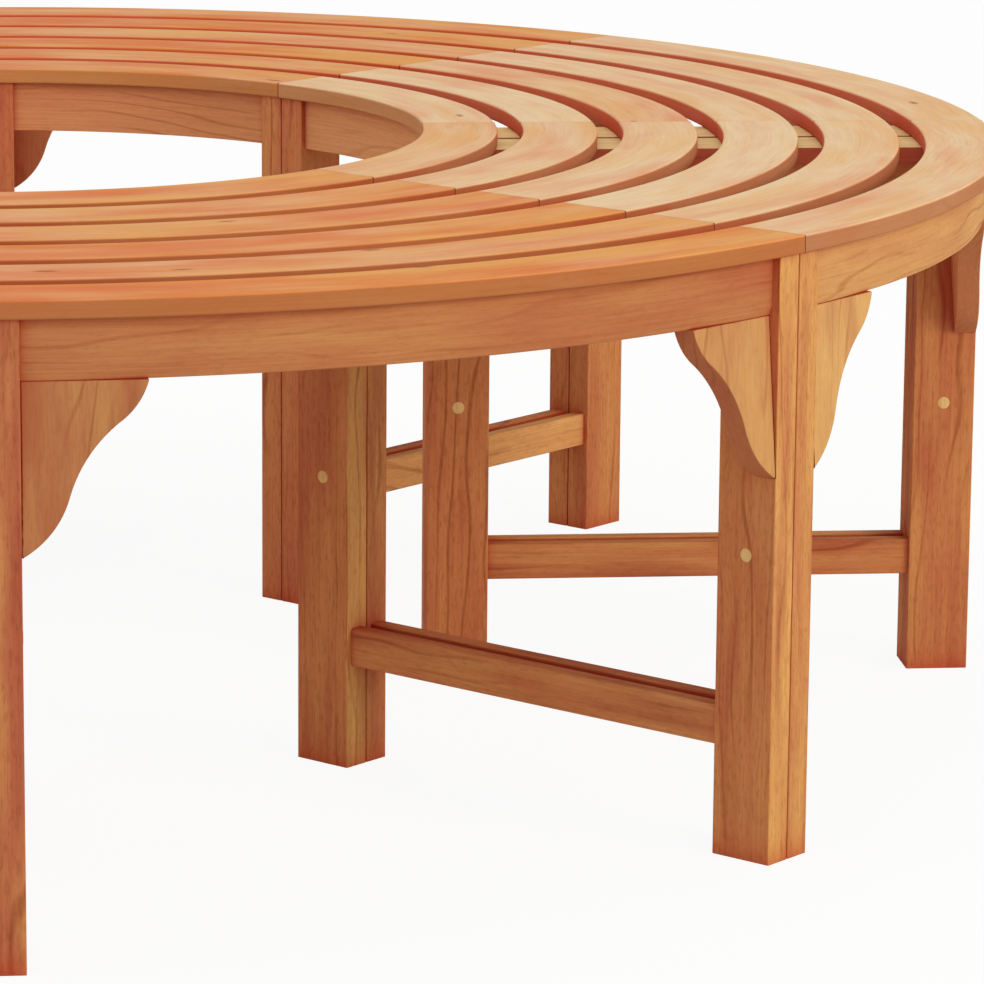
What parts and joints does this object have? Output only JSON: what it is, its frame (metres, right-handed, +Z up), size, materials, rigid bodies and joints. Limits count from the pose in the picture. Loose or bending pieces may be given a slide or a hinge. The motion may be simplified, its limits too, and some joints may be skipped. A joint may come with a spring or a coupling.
{
  "type": "tree bench",
  "caption": "Round slatted wooden bench that rings a tree: curved seat boards over bolted leg frames, with curved aprons, low stretchers and scrolled brackets.",
  "frame": {"origin": "on the ground at the centre of the ring", "axes": "+Z up through the tree; +X along a joint between two sections"},
  "size_m": [1.6, 1.6, 0.45],
  "materials": {
    "slat_wood": "oiled",
    "frame_wood": "oiled",
    "leg_wood": "oiled",
    "bearer_wood": "oiled",
    "bracket_wood": "oiled",
    "plug_wood": "oiled",
    "zinc_steel": "zinc plated"
  },
  "bodies": {
    "root": {"section_1_slats": "slat_wood", "section_1_aprons": "frame_wood", "section_1_outer_legs": "leg_wood", "section_1_inner_legs": "leg_wood", "section_1_rails": "frame_wood", "section_1_bearers": "bearer_wood", "section_1_brackets": "bracket_wood", "section_2_slats": "slat_wood", "section_2_aprons": "frame_wood", "section_2_outer_legs": "leg_wood", "section_2_inner_legs": "leg_wood", "section_2_rails": "frame_wood", "section_2_bearers": "bearer_wood", "section_2_brackets": "bracket_wood", "section_3_slats": "slat_wood", "section_3_aprons": "frame_wood", "section_3_outer_legs": "leg_wood", "section_3_inner_legs": "leg_wood", "section_3_rails": "frame_wood", "section_3_bearers": "bearer_wood", "section_3_brackets": "bracket_wood", "section_4_slats": "slat_wood", "section_4_aprons": "frame_wood", "section_4_outer_legs": "leg_wood", "section_4_inner_legs": "leg_wood", "section_4_rails": "frame_wood", "section_4_bearers": "bearer_wood", "section_4_brackets": "bracket_wood", "section_5_slats": "slat_wood", "section_5_aprons": "frame_wood", "section_5_outer_legs": "leg_wood", "section_5_inner_legs": "leg_wood", "section_5_rails": "frame_wood", "section_5_bearers": "bearer_wood", "section_5_brackets": "bracket_wood", "section_6_slats": "slat_wood", "section_6_aprons": "frame_wood", "section_6_outer_legs": "leg_wood", "section_6_inner_legs": "leg_wood", "section_6_rails": "frame_wood", "section_6_bearers": "bearer_wood", "section_6_brackets": "bracket_wood", "section_7_slats": "slat_wood", "section_7_aprons": "frame_wood", "section_7_outer_legs": "leg_wood", "section_7_inner_legs": "leg_wood", "section_7_rails": "frame_wood", "section_7_bearers": "bearer_wood", "section_7_brackets": "bracket_wood", "section_8_slats": "slat_wood", "section_8_aprons": "frame_wood", "section_8_outer_legs": "leg_wood", "section_8_inner_legs": "leg_wood", "section_8_rails": "frame_wood", "section_8_bearers": "bearer_wood", "section_8_brackets": "bracket_wood", "bolt_plugs": "plug_wood", "joint_bolts": "zinc_steel", "joint_nuts": "zinc_steel", "wood_screws": "zinc_steel"}
  },
  "joints": []
}
